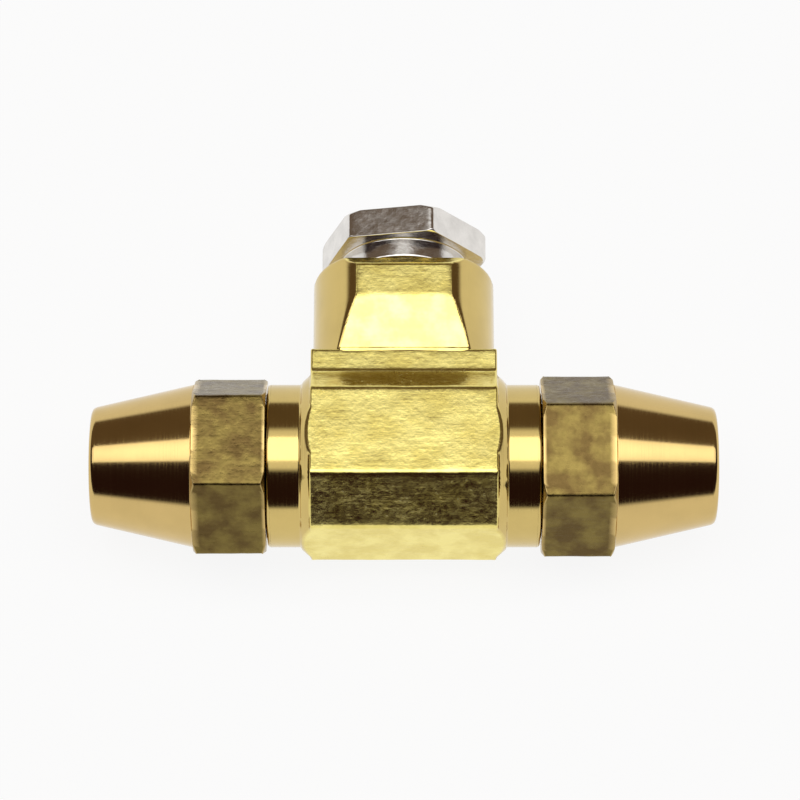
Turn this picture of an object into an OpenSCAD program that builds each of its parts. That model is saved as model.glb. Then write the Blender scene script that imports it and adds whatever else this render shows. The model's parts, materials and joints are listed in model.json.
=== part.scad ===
// Needle valve in a straight run of tube, with a compression nut at each end.
// X is the flow axis, +Y is the stem axis towards the gland nut, +Z is the front.
// The origin is the middle of the block's back flat, which the valve lies on.
// "Height" means the distance from the flow axis along the stem axis.
// "Reach" means the distance from the stem axis along the flow axis.

/* [Overall] */
// Reach of the outer end of each nut
half_span = 24.5; // [22:0.5:32]
// Outer diameter of the tube that the nuts hold
tube_d = 6.35; // [5:0.05:7.7]

/* [Block] */
// Block from back flat to front flat
block_depth = 14; // [12:0.5:18]
// Height of the front and back flats
flat_height = 7.26; // [5:0.1:9]
// Depth of the bottom face
foot_depth = 6.6; // [4:0.1:9]
// Distance of the bottom face under the flow axis
foot_drop = 6.7; // [5.5:0.1:8]
// Depth of the upright band above the upper chamfer
shoulder_depth = 10.16; // [9:0.1:11.5]
// Height at which the upright band starts
shoulder_start = 5.9; // [5:0.1:7]
// Height at which the upright band ends and the neck starts
shoulder_end = 7.9; // [7.2:0.1:9]
// Reach of the flat end faces of the block
block_reach = 8.0; // [7.5:0.05:9.5]
// Reach of the block outside the bevel turned on its ends
bevel_reach = 7.3; // [7.25:0.05:7.5]
// Width of that bevel, measured outwards from the flow axis
bevel_width = 0.6; // [0.4:0.1:3]
// Step of the end face outside the boss
boss_margin = 0.2; // [0.1:0.1:0.6]

/* [Neck] */
// Height of the top of the neck
neck_top = 15.76; // [13.1:0.1:19]
// Diameter that the sides of the neck are turned to
neck_d = 14.44; // [13:0.1:14.5]
// Neck from its back flat to its front flat
neck_depth = 12.3; // [10.5:0.1:14]
// Height from the upright band to the flats of the neck
neck_rise = 4.03; // [2:0.1:4.5]
// Height of the bevel on the top of the neck's flats
neck_bevel = 0.95; // [0.4:0.05:1.5]

/* [Tube ends] */
// Outer diameter of the thread that takes each nut
thread_d = 10.9; // [10:0.1:13.1]
// Step from that thread out to the round boss
boss_step = 0.95; // [0.6:0.05:1.5]
// Reach of the boss
boss_reach = 10.65; // [10:0.05:12]
// Length of the threaded spigot beyond the boss
spigot_length = 4.95; // [4:0.05:6.5]
// Width of the groove where the thread runs out
runout_width = 0.7; // [0.4:0.1:1.2]
// Depth of that groove
runout_depth = 0.6; // [0.3:0.1:0.8]
// Depth of the tube socket from the end of the spigot
socket_depth = 5.5; // [4.5:0.1:7]
// Length of the coned mouth that the ferrule is pressed into
mouth_length = 2; // [1.5:0.1:2.5]
// How far the coned mouth opens out from the socket
mouth_flare = 0.9; // [0.8:0.05:1.1]

/* [Ferrules] */
// Length of each ferrule
ferrule_length = 4.8; // [3.5:0.1:6]
// Wall of a ferrule at its middle
ferrule_wall = 0.7; // [0.6:0.05:0.85]
// Wall of a ferrule at its two ends
ferrule_nose_wall = 0.2; // [0.15:0.05:0.4]
// Length of the taper at each end of a ferrule
ferrule_taper = 1.2; // [0.8:0.1:1.6]
// How far a ferrule reaches into the coned mouth
ferrule_entry = 1.05; // [0.8:0.05:1.2]

/* [Nuts] */
// Length of the hexagon
nut_hex_length = 5.75; // [5:0.05:7]
// Wall of the nut between its thread and its flats
nut_wall = 0.84; // [0.6:0.02:1.6]
// Width of the 30 degree bevel on the corners of the hexagon
nut_bevel = 0.55; // [0.3:0.05:0.8]
// How far the tail stands out past the flats where it starts
tail_margin = 0.1; // [0.05:0.05:0.5]
// How far the tail starts before the end of the hexagon
tail_lead = 0.3; // [0.2:0.1:0.6]
// Wall of the tail at its tip
tail_tip_wall = 1.3; // [0.8:0.05:1.5]
// Rounding of the tip
tail_tip_round = 0.5; // [0.2:0.1:0.6]
// Countersink of the tube bore at the tip
tail_countersink = 0.3; // [0.1:0.05:0.4]
// Angle of a corner of the left nut from the front, towards the gland nut
left_nut_angle = 25; // [0:0.5:60]
// Angle of a corner of the right nut from the front, towards the gland nut
right_nut_angle = 17.5; // [0:0.5:60]

/* [Seat and passages] */
// Diameter of the orifice that the needle closes
orifice_d = 2.4; // [2:0.1:2.9]
// Depth of the seat under the flow axis
seat_drop = 0.2; // [0:0.1:0.6]
// Depth under the flow axis at which the left passage meets the orifice
passage_drop = 3; // [2.8:0.1:3.6]
// Diameter of the slanted left passage
left_passage_d = 2.5; // [2:0.1:2.6]
// Diameter of the straight right passage
right_passage_d = 2.3; // [1.8:0.1:2.4]
// Height of the right passage over the flow axis
right_passage_rise = 1.25; // [1.1:0.05:1.4]
// Height of the top of the valve chamber
chamber_top = 2.6; // [2.5:0.1:3.2]

/* [Stem] */
// Diameter of the stem where the packing seals on it
stem_d = 3.1; // [2.6:0.1:3.7]
// Outer diameter of the stem thread
stem_thread_d = 5; // [4.6:0.1:6]
// How far the stem lifts from closed to fully open
stem_lift = 1.8; // [1:0.1:2]
// Length of the needle's taper below the seat
needle_length = 2.4; // [1.5:0.1:3]
// Diameter of the needle's blunt tip
needle_tip_d = 0.4; // [0.2:0.1:0.8]
// Step from the orifice out to the widest part of the needle
needle_step = 0.3; // [0.2:0.05:0.3]
// How far the stem stands out above the gland nut
stem_proud = 2.3; // [1:0.1:5]
// Width of the screwdriver slot
slot_width = 0.7; // [0.5:0.1:0.9]
// Depth of the screwdriver slot
slot_depth = 0.9; // [0.6:0.1:0.95]
// Bevel round the end of the stem
stem_bevel = 0.25; // [0.1:0.05:0.4]

/* [Stem seal] */
// Step from the stem thread out to the land that holds the O-ring
land_step = 0.3; // [0.3:0.05:0.4]
// Length of that land
land_length = 2.4; // [2.3:0.1:3]
// Thickness of each lip of the O-ring groove
lip = 0.45; // [0.3:0.05:0.5]
// Thickness of the O-ring's cord
o_ring_cord = 0.96; // [0.8:0.02:1]
// Thickness of the backup ring
backup_thickness = 0.35; // [0.2:0.05:0.4]

/* [Gland] */
// Outer diameter of the gland nut's thread
gland_thread_d = 9; // [8.4:0.1:10.8]
// Depth of the packing floor under the top of the neck
gland_depth = 4.66; // [4.4:0.02:5.2]
// Ledge between the gland thread and the packing chamber
gland_ledge = 0.5; // [0.3:0.1:0.8]
// Thickness of the washer under the packing
washer_thickness = 0.5; // [0.3:0.1:0.7]
// Height of one packing ring
packing_height = 0.7; // [0.5:0.05:0.8]
// Rise of the V in a packing ring
packing_vee = 0.35; // [0.2:0.05:0.5]
// Thickness of the gland follower at its rim
follower_thickness = 0.9; // [0.7:0.1:1.1]
// Step from the gland thread out to the shank of the gland nut
shank_step = 0.55; // [0.3:0.05:1]
// Length of the shank that shows under the hexagon
shank_length = 1.64; // [1:0.02:3]
// Step from the shank out to the flats of the hexagon
gland_hex_step = 0.825; // [0.4:0.025:1.5]
// Thickness of the hexagon
gland_hex_thickness = 2.4; // [1.8:0.1:4]
// Width of the 30 degree bevel on the hexagon's top corners
gland_bevel = 0.5; // [0.2:0.05:0.8]
// Turn of the hexagon from square, towards the left
gland_hex_angle = 10.5; // [0:0.5:60]

/* [Clearances] */
// Radial clearance of the tube in its socket, ferrule and nut
tube_clearance = 0.1; // [0.05:0.01:0.2]
// Radial clearance between mated threads
thread_clearance = 0.05; // [0.03:0.01:0.1]
// Radial clearance round the stem in the gland nut
stem_clearance = 0.1; // [0.05:0.01:0.15]
// Radial clearance of the packing, its washer and its follower
packing_clearance = 0.05; // [0.03:0.01:0.1]
// Radial clearance of the land in its bore
land_clearance = 0.08; // [0.05:0.01:0.1]
// Clearance of the O-ring and the backup ring in their groove
groove_clearance = 0.02; // [0.01:0.01:0.04]
// Clearance of the closed needle at the edge of the seat
seat_clearance = 0.05; // [0.03:0.01:0.08]
// Gap between a tightened nut and its boss
nut_gap = 0.1; // [0.05:0.05:0.3]
// Clearance of a ferrule in the nut
ferrule_clearance = 0.12; // [0.1:0.02:0.2]
// Gap that keeps a moving shoulder off a fixed one
shoulder_gap = 0.2; // [0.1:0.05:0.3]

/* [Hidden] */
$fn = 64;
overcut = 0.5;

axis_z = block_depth / 2;

// Tube ends, as radii from the flow axis and reaches from the stem axis
socket_r = tube_d / 2 + tube_clearance;
thread_r = thread_d / 2;
boss_r = thread_r + boss_step;
spigot_reach = boss_reach + spigot_length;
tube_stop = spigot_reach - socket_depth;
ferrule_r = socket_r + ferrule_wall;
ferrule_nose_r = socket_r + ferrule_nose_wall;
ferrule_start = spigot_reach - ferrule_entry;
ferrule_end = ferrule_start + ferrule_length;

// Nuts
nut_start = boss_reach + nut_gap;
nut_hex_end = nut_start + nut_hex_length;
nut_bore_r = thread_r + thread_clearance;
nut_flat_r = nut_bore_r + nut_wall;
nut_corner_r = nut_flat_r / cos(30);
tail_start = nut_hex_end - tail_lead;
tail_base_r = nut_flat_r + tail_margin;
tail_tip_r = socket_r + tail_tip_wall;
pocket_r = ferrule_r + ferrule_clearance;
nut_thread_end = spigot_reach + shoulder_gap;
pocket_start = nut_thread_end + nut_bore_r - pocket_r;
pocket_end = ferrule_end - ferrule_taper + ferrule_clearance;
tube_bore_start = ferrule_end + ferrule_clearance;

// Stem bore, as radii from the stem axis and heights from the flow axis
orifice_r = orifice_d / 2;
stem_r = stem_d / 2;
stem_thread_r = stem_thread_d / 2;
stem_tap_r = stem_thread_r + thread_clearance;
chamber_r = stem_thread_r - 0.4;
land_r = stem_thread_r + land_step;
land_bore_r = land_r + land_clearance;
packing_floor = neck_top - gland_depth;
land_top = packing_floor - stem_lift - shoulder_gap;
land_bottom = land_top - land_length;
tap_top = land_bottom - shoulder_gap;

// Gland
gland_thread_r = gland_thread_d / 2;
gland_bore_r = gland_thread_r + thread_clearance;
packing_bore_r = gland_bore_r - gland_ledge;
packing_r = packing_bore_r - packing_clearance;
ring_bore_r = stem_r + packing_clearance;
packing_start = packing_floor + washer_thickness;
follower_start = packing_start + 2 * packing_height;
follower_top = follower_start + follower_thickness;
shank_r = gland_thread_r + shank_step;
shank_start = neck_top + shoulder_gap;
gland_hex_start = shank_start + shank_length;
gland_top = gland_hex_start + gland_hex_thickness;
gland_flat_r = shank_r + gland_hex_step;
gland_corner_r = gland_flat_r / cos(30);

// Places its children with their local Z on the flow axis: side 1 is right, -1 is left
module along_flow(side) {
    translate([0, 0, axis_z]) rotate([0, 90 * side, 0]) children();
}

// Places its children with their local Z on the stem axis
module along_stem() {
    translate([0, 0, axis_z]) rotate([-90, 0, 0]) children();
}

// Cylinder from one height or reach to another
module rod(r, from, to) {
    translate([0, 0, from]) cylinder(h = to - from, r = r);
}

// Ring with a square section
module ring(inner_r, outer_r, from, to) {
    rotate_extrude() translate([inner_r, from]) square([outer_r - inner_r, to - from]);
}

// Hexagon with the corners at both ends turned back at 30 degrees, a corner on local X
module hexagon(corner_r, flat_r, from, to, start_bevel, end_bevel) {
    start_rise = start_bevel * tan(30);
    end_rise = end_bevel * tan(30);
    intersection() {
        translate([0, 0, from]) cylinder(h = to - from, r = corner_r, $fn = 6);
        rotate_extrude() polygon([
            [0, from], [corner_r + 0.02 - start_bevel, from], [corner_r + 0.02, from + start_rise],
            [corner_r + 0.02, to - end_rise], [corner_r + 0.02 - end_bevel, to], [0, to]
        ]);
    }
}

// One side of the extruded profile of the bar, as heights and depths from the stem axis
bar_side = [
    [-foot_drop, foot_depth / 2],
    [-flat_height / 2, block_depth / 2],
    [flat_height / 2, block_depth / 2],
    [shoulder_start, shoulder_depth / 2],
    [shoulder_end, shoulder_depth / 2]
];

// One side of the profile of the neck
neck_side = [
    [shoulder_start, shoulder_depth / 2],
    [shoulder_end, shoulder_depth / 2],
    [shoulder_end + neck_rise, neck_depth / 2],
    [neck_top - neck_bevel, neck_depth / 2],
    [neck_top, neck_depth / 2 - neck_bevel]
];

// Both sides of a profile, extruded along the flow axis
module bar(side, length) {
    back = [for (i = [len(side) - 1 : -1 : 0]) [side[i][0], -side[i][1]]];
    translate([0, 0, axis_z]) rotate([90, 0, 90])
        linear_extrude(height = length, center = true) polygon(concat(side, back));
}

// The bar cut off and turned about the flow axis, with a bevel round each end
module block() {
    face_r = boss_r + boss_margin;
    bevel_r = face_r + bevel_width;
    limit_r = 2 * neck_top;
    intersection() {
        bar(bar_side, 2 * block_reach + 2 * overcut);
        along_flow(1) rotate_extrude() polygon([
            [0, -block_reach], [face_r, -block_reach], [bevel_r, -bevel_reach],
            [limit_r, -bevel_reach], [limit_r, bevel_reach], [bevel_r, bevel_reach],
            [face_r, block_reach], [0, block_reach]
        ]);
    }
}

// The neck: two flats from the bar, and two sides turned about the stem axis
module neck() {
    intersection() {
        bar(neck_side, 2 * neck_d);
        along_stem() rod(neck_d / 2, shoulder_start, neck_top);
    }
}

// Boss and threaded spigot of one tube end
module tube_end(side) {
    along_flow(side) {
        rod(boss_r, 0, boss_reach);
        rotate_extrude() polygon([
            [0, boss_reach - overcut], [thread_r - runout_depth, boss_reach - overcut],
            [thread_r - runout_depth, boss_reach + runout_width],
            [thread_r, boss_reach + runout_width + runout_depth],
            [thread_r, spigot_reach - runout_depth], [thread_r - runout_depth, spigot_reach],
            [0, spigot_reach]
        ]);
    }
}

// Tube socket and its coned mouth
module tube_socket(side) {
    flare_slope = mouth_flare / mouth_length;
    along_flow(side) rotate_extrude() polygon([
        [0, tube_stop], [socket_r, tube_stop], [socket_r, spigot_reach - mouth_length],
        [socket_r + mouth_flare + flare_slope * overcut, spigot_reach + overcut],
        [0, spigot_reach + overcut]
    ]);
}

// Slanted passage from the left socket to the space under the seat, and the straight
// one from the chamber above the seat to the right socket
module passages() {
    slope = atan2(passage_drop, tube_stop);
    run = norm([passage_drop, tube_stop]);
    translate([0, -passage_drop, axis_z]) rotate([0, 0, 180 - slope]) rotate([0, 90, 0])
        rod(left_passage_d / 2, -orifice_r / 2, run + overcut / 2);
    translate([0, right_passage_rise, 0]) along_flow(1)
        rod(right_passage_d / 2, 0, tube_stop + overcut);
}

// Everything bored down the stem axis, from the orifice up to the gland thread
module stem_bore() {
    along_stem() rotate_extrude() polygon([
        [0, -passage_drop - orifice_r], [orifice_r, -passage_drop], [orifice_r, -seat_drop],
        [chamber_r, -seat_drop], [chamber_r, chamber_top], [stem_tap_r, chamber_top],
        [stem_tap_r, tap_top], [land_bore_r, tap_top], [land_bore_r, packing_floor],
        [packing_bore_r, packing_floor], [packing_bore_r, follower_top],
        [gland_bore_r, follower_top], [gland_bore_r, neck_top + overcut],
        [0, neck_top + overcut]
    ]);
}

module valve_body() {
    color("gold") difference() {
        union() {
            block();
            neck();
            tube_end(1);
            tube_end(-1);
        }
        tube_socket(1);
        tube_socket(-1);
        passages();
        stem_bore();
    }
}

// The stem closed: needle, waist, thread, O-ring land, shank and slotted end
module stem() {
    top = gland_top + stem_proud;
    needle_r = orifice_r + needle_step;
    tip_r = needle_tip_d / 2;
    edge_r = orifice_r - seat_clearance;
    taper = (edge_r - tip_r) / needle_length;
    needle_top = -seat_drop + (needle_r - edge_r) / taper;
    thread_start = chamber_top + shoulder_gap;
    thread_end = tap_top - 2 * shoulder_gap;
    groove_r = land_bore_r - o_ring_cord - 2 * groove_clearance;
    color("silver") along_stem() difference() {
        rotate_extrude() polygon([
            [0, -seat_drop - needle_length], [tip_r, -seat_drop - needle_length],
            [needle_r, needle_top], [needle_r, thread_start], [stem_thread_r, thread_start],
            [stem_thread_r, thread_end], [chamber_r, thread_end], [chamber_r, land_bottom],
            [land_r, land_bottom], [land_r, land_bottom + lip], [groove_r, land_bottom + lip],
            [groove_r, land_top - lip], [land_r, land_top - lip], [land_r, land_top],
            [stem_r, land_top], [stem_r, top - stem_bevel], [stem_r - stem_bevel, top], [0, top]
        ]);
        translate([-stem_d, -slot_width / 2, top - slot_depth])
            cube([2 * stem_d, slot_width, slot_depth + overcut]);
    }
}

module stem_o_ring() {
    ring_r = land_bore_r - o_ring_cord / 2 - groove_clearance;
    height = land_bottom + lip + o_ring_cord / 2 + groove_clearance;
    color("black") along_stem() translate([0, 0, height])
        rotate_extrude() translate([ring_r, 0]) circle(d = o_ring_cord);
}

module o_ring_backup() {
    groove_r = land_bore_r - o_ring_cord - groove_clearance;
    top = land_top - lip - groove_clearance;
    color("white") along_stem()
        ring(groove_r, land_bore_r - groove_clearance, top - backup_thickness, top);
}

module packing_washer() {
    color("goldenrod") along_stem()
        ring(ring_bore_r, packing_r, packing_floor, packing_start);
}

// V-section ring: its top and bottom both point up at the middle of the wall
module packing_ring(place) {
    from = packing_start + place * packing_height;
    middle_r = (ring_bore_r + packing_r) / 2;
    color("white") along_stem() rotate_extrude() polygon([
        [ring_bore_r, from], [middle_r, from + packing_vee], [packing_r, from],
        [packing_r, from + packing_height - packing_vee / 2],
        [middle_r, from + packing_height + packing_vee / 2],
        [ring_bore_r, from + packing_height - packing_vee / 2]
    ]);
}

module lower_packing_ring() {
    packing_ring(0);
}

module upper_packing_ring() {
    packing_ring(1);
}

// Ring that presses on the packing, hollowed underneath to suit the V
module gland_follower() {
    middle_r = (ring_bore_r + packing_r) / 2;
    foot = follower_start + shoulder_gap / 4;
    color("goldenrod") along_stem() rotate_extrude() polygon([
        [ring_bore_r, foot], [middle_r, foot + packing_vee], [packing_r, foot],
        [packing_r, follower_top], [ring_bore_r, follower_top]
    ]);
}

module gland_nut() {
    bore_r = stem_r + stem_clearance;
    foot = follower_top + nut_gap / 2;
    color("lightgray") along_stem() difference() {
        union() {
            rod(gland_thread_r, foot, shank_start);
            rod(shank_r, shank_start, gland_hex_start + overcut);
            rotate([0, 0, -gland_hex_angle]) hexagon(
                gland_corner_r, gland_flat_r, gland_hex_start, gland_top,
                gland_bevel / 2, gland_bevel
            );
        }
        rod(bore_r, foot - overcut, gland_top + overcut);
    }
}

// Compression nut: hexagon, coned tail, thread, ferrule pocket and tube bore
module nut(side, corner_angle) {
    round_steps = 4;
    tip_round = [for (i = [0 : round_steps]) [
        tail_tip_r - tail_tip_round * (1 - cos(90 * i / round_steps)),
        half_span - tail_tip_round * (1 - sin(90 * i / round_steps))
    ]];
    color("darkgoldenrod") along_flow(side) difference() {
        union() {
            rotate([0, 0, -side * corner_angle]) hexagon(
                nut_corner_r, nut_flat_r, nut_start, nut_hex_end, nut_bevel, nut_bevel
            );
            rotate_extrude() polygon(concat(
                [[0, tail_start - overcut], [tail_base_r - overcut / 2, tail_start - overcut],
                 [tail_base_r, tail_start]],
                tip_round, [[0, half_span]]
            ));
        }
        rotate_extrude() polygon([
            [0, nut_start - overcut], [nut_bore_r, nut_start - overcut],
            [nut_bore_r, nut_thread_end], [pocket_r, pocket_start], [pocket_r, pocket_end],
            [ferrule_nose_r + ferrule_clearance, tube_bore_start],
            [socket_r, tube_bore_start], [socket_r, half_span - tail_countersink],
            [socket_r + tail_countersink, half_span],
            [socket_r + tail_countersink, half_span + overcut], [0, half_span + overcut]
        ]);
    }
}

module left_nut() {
    nut(-1, left_nut_angle);
}

module right_nut() {
    nut(1, right_nut_angle);
}

// Compression sleeve, tapered at both ends
module ferrule(side) {
    color("gold") along_flow(side) rotate_extrude() polygon([
        [socket_r, ferrule_start], [ferrule_nose_r, ferrule_start],
        [ferrule_r, ferrule_start + ferrule_taper], [ferrule_r, ferrule_end - ferrule_taper],
        [ferrule_nose_r, ferrule_end], [socket_r, ferrule_end]
    ]);
}

module left_ferrule() {
    ferrule(-1);
}

module right_ferrule() {
    ferrule(1);
}

valve_body();
stem();
stem_o_ring();
o_ring_backup();
packing_washer();
lower_packing_ring();
upper_packing_ring();
gland_follower();
gland_nut();
left_nut();
right_nut();
left_ferrule();
right_ferrule();
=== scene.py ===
# %% [markdown]
# # A brass needle valve, piece by piece
# This lesson dresses a small valve: a brass block with a tapered compression nut at each end, and
# a nickel-plated gland nut over a slotted stem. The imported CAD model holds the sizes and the
# joints. Blender gives each piece a finished surface in the same place, so that every piece can
# ride on its CAD body and move with it.

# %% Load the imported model
import json
import math

import bpy
import numpy as np
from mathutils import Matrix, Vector


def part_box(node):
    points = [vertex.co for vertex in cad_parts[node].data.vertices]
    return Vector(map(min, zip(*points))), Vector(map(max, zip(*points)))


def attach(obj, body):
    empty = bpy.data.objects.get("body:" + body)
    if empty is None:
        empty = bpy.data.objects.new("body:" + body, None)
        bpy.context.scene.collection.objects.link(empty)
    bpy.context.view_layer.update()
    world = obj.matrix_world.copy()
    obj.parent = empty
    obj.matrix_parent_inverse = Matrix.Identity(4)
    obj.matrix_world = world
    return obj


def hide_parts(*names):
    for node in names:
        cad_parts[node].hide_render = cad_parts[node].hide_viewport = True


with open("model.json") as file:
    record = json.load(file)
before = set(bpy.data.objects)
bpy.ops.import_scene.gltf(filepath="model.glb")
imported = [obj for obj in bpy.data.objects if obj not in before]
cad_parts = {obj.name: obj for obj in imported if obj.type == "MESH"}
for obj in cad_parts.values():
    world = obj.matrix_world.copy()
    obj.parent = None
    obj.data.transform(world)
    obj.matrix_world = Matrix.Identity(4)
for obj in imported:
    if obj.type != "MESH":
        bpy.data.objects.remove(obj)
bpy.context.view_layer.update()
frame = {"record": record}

MM = 0.001

# %% [markdown]
# ## The sizes that the pieces share
# The outside of each piece is read off the boxes of the CAD nodes. Walls, steps and threads that
# a box can't tell are named here, in millimetres, once. Two axes cross in the middle of the block:
# the flow axis along X and the stem axis along Y. "Reach" is a distance out along the flow axis,
# and "height" is a distance along the stem axis.

# %% Sizes in millimetres
body_low, body_high = (np.array(corner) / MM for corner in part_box("valve_body"))
nut_low, nut_high = (np.array(corner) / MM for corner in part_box("right_nut"))
gland_low, gland_high = (np.array(corner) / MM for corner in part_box("gland_nut"))
stem_low, stem_high = (np.array(corner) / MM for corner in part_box("stem"))
ferrule_low, ferrule_high = (np.array(corner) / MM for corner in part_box("right_ferrule"))
mounts = {mount["name"]: mount for mount in frame["record"]["mounts"]}

axis_z = body_high[2] / 2
half_depth = body_high[2] / 2
foot_drop = -body_low[1]
neck_top = body_high[1]
spigot_reach = body_high[0]
nut_start, half_span = nut_low[0], nut_high[0]
socket_r = mounts["right_port"]["dims"]["r_mm"]
ferrule_start, ferrule_end = ferrule_low[0], ferrule_high[0]
ferrule_r = ferrule_high[1]

# Block: half depths and heights of the corners of the bar, and the turned ends
foot_half, flat_half, band_half = 3.3, 3.63, 5.08
band_start, band_end = 5.9, 7.9
block_reach, bevel_reach = 8.0, 7.3
boss_r, boss_reach = 6.4, 10.65
face_r, bevel_r = 6.6, 7.2
corner_round, edge_round, boss_fillet = 0.28, 0.16, 0.12
bar_wave = 0.028

# Neck: turned radius, half depth between its flats, and its bevel
neck_r, neck_half = 7.22, 6.15
flat_start = 11.93
neck_bevel, neck_round = 0.95, 0.18
neck_wave = 0.03
# Inside the block the neck's skin shrinks to a liner round the stem bore, out of sight
liner_r, liner_floor, liner_top = 2.95, -4.3, 6.3
skirt_start, skirt_inset, hidden_below = 6.6, 0.2, 6.5

# Tube ends
thread_r, runout_r = 5.45, 4.85
thread_start = 11.35
mouth_length, mouth_flare = 2.0, 0.9
tube_stop = 10.1
nut_pitch = 25.4 / 24
spigot_cut, nut_cut = 0.55, 0.5
# Passage of each end, right 1 and left -1: radius, height at the tube stop, height inside
passages = {1: (1.15, 1.25, 1.25), -1: (1.25, 0.0, -2.1)}
passage_end = 3.2

# Nuts
nut_flat_r, nut_hex_end = 6.34, 16.5
nut_face_r, nut_wave = 6.79, 0.035
tail_base_r, tail_tip_r, tail_tip_round = 6.44, 4.57, 0.5
nut_bore_r, ferrule_gap = 5.5, 0.12
nose_r, ferrule_taper = socket_r + 0.2, 1.2

# Stem bore and gland
seat_height, chamber_top, tap_top = -0.2, 2.6, 6.5
orifice_r, chamber_r, tap_r, land_bore_r = 1.2, 2.1, 2.55, 2.88
orifice_floor = -3.9
packing_floor, packing_bore_r = 11.1, 4.05
follower_top, gland_bore_r, gland_thread_r = 13.9, 4.55, 4.5
shank_r, shank_start, gland_hex_start = 5.05, 15.96, 17.6
gland_flat_r, gland_face_r = 5.87, 6.28
gland_hex_turn = math.radians(10.5)
gland_pitch, stem_pitch = 0.75, 0.8
gland_cut, tap_cut, stem_cut = 0.36, 0.4, 0.38
stem_r, land_r, stem_thread_r = 1.55, 2.8, 2.5
needle_tip_r, waist_r, waist_start = 0.2, 1.5, 0.684
land_gap, land_length, land_rim, groove_r = 2.0, 2.4, 0.45, 1.88
slot_depth, slot_half, stem_bevel = 0.9, 0.35, 0.2
print("flow axis at z =", axis_z, "mm; tube bore radius", socket_r, "mm")

# %% [markdown]
# ## Three local frames
# A turned piece is easiest to write round its own axis: a distance `along` the axis and two
# distances across it. The valve has three such frames: the flow axis going right, the flow axis
# going left, and the stem axis going up the neck. Each one is a plain turn of the valve's frame,
# never a mirror, so a right-hand thread stays right-handed in all three. The block's left end is
# the one thing that is mirrored, further down.

# %% From a local frame to the valve's frame
def to_right(x, y, along):
    """Local X becomes -Z, local Y stays Y, and the axis becomes +X."""
    return np.stack([along, y, axis_z - x], axis=-1)


def to_left(x, y, along):
    """Local X becomes +Z, local Y stays Y, and the axis becomes -X."""
    return np.stack([-along, y, axis_z + x], axis=-1)


def to_stem(x, y, along):
    """Local X stays X, local Y becomes -Z, and the axis becomes +Y."""
    return np.stack([x, along, axis_z - y], axis=-1)


def around(place, radius, angle, along):
    """Points at a radius and an angle round a local axis: x = r cos a, y = r sin a."""
    radius, angle, along = np.broadcast_arrays(radius, angle, along)
    return place(radius * np.cos(angle), radius * np.sin(angle), along)


# %% [markdown]
# ## From a grid of points to a closed mesh
# Every piece is a grid: rows follow its outline, and columns go once round its axis. Neighbouring
# points join into quads, the last column joins the first, and the open ends are either joined to
# each other or closed by a fan of triangles. Two numbers ride along with each point: `skin` is 1
# where the metal keeps its rough mill skin and 0 where a tool has cut it, and `run` is the
# distance along the turning axis, which the tool marks follow.

# %% Grids, fans and meshes
def grid_quads(rows, columns, joined):
    """Quads of a grid whose columns wrap: (i, j), (i, j+1), (i+1, j+1), (i+1, j)."""
    i = np.arange(rows if joined else rows - 1)[:, None]
    j = np.arange(columns)[None, :]
    below, after = (i + 1) % rows, (j + 1) % columns
    corners = [i * columns + j, i * columns + after, below * columns + after, below * columns + j]
    return np.stack(np.broadcast_arrays(*corners), axis=-1).reshape(-1, 4)


def shell(points, skin=0.0, run=0.0, joined=False):
    """One closed surface as (points, quads, fans, skin, run). Unless the outline is a closed
    loop, each end row is closed by a fan round its own centre."""
    rows, columns = points.shape[:2]
    skin = np.broadcast_to(skin, (rows, columns)).ravel()
    run = np.broadcast_to(run, (rows, columns)).ravel()
    flat = points.reshape(-1, 3)
    quads = grid_quads(rows, columns, joined)
    if joined:
        return flat, quads, np.zeros((0, 3), int), skin, run
    first, last = points[0].mean(axis=0), points[-1].mean(axis=0)
    j = np.arange(columns)
    after = (j + 1) % columns
    start, end = rows * columns, rows * columns + 1
    end_row = (rows - 1) * columns
    fans = np.concatenate([
        np.stack([np.full(columns, start), after, j], axis=-1),
        np.stack([np.full(columns, end), end_row + j, end_row + after], axis=-1),
    ])
    skin = np.append(skin, [skin[0], skin[-1]])
    run = np.append(run, [run[0], run[-1]])
    return np.vstack([flat, first, last]), quads, fans, skin, run


def build(name, shells, material, body, nodes, sharp=40):
    """Puts shells into one mesh, in metres, and hangs it on its CAD body in place of nodes."""
    offsets = np.cumsum([0] + [len(s[0]) for s in shells])
    points = np.vstack([s[0] for s in shells]) * MM
    faces = [face for s, offset in zip(shells, offsets) for face in (s[1] + offset).tolist()]
    faces += [face for s, offset in zip(shells, offsets) for face in (s[2] + offset).tolist()]
    mesh = bpy.data.meshes.new(name)
    mesh.from_pydata(points.tolist(), [], faces)
    for label, column in (("skin", 3), ("run", 4)):
        values = np.concatenate([s[column] for s in shells]).astype(np.float32)
        mesh.attributes.new(label, "FLOAT", "POINT").data.foreach_set("value", values)
    mesh.shade_smooth()
    mesh.set_sharp_from_angle(angle=math.radians(sharp))
    mesh.materials.append(material)
    piece = bpy.data.objects.new(name, mesh)
    bpy.context.collection.objects.link(piece)
    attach(piece, body)
    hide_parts(*nodes)
    print(f"{name}: {len(points)} points, {len(faces)} faces, rides on {body}")
    return piece


# %% [markdown]
# ## Outlines with rounded corners
# No real edge is perfectly sharp, and it is the small rounding that catches the light. An outline
# is a list of corners, each with its rounding and the number of rows up to the next corner. The
# rounding is a short parabola between the two sides, with a row just outside each of its ends, so
# that the flat beside it shades flat. The corners may be arrays, one value for each column,
# which is how a hexagon and a circle can share an outline.

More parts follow.
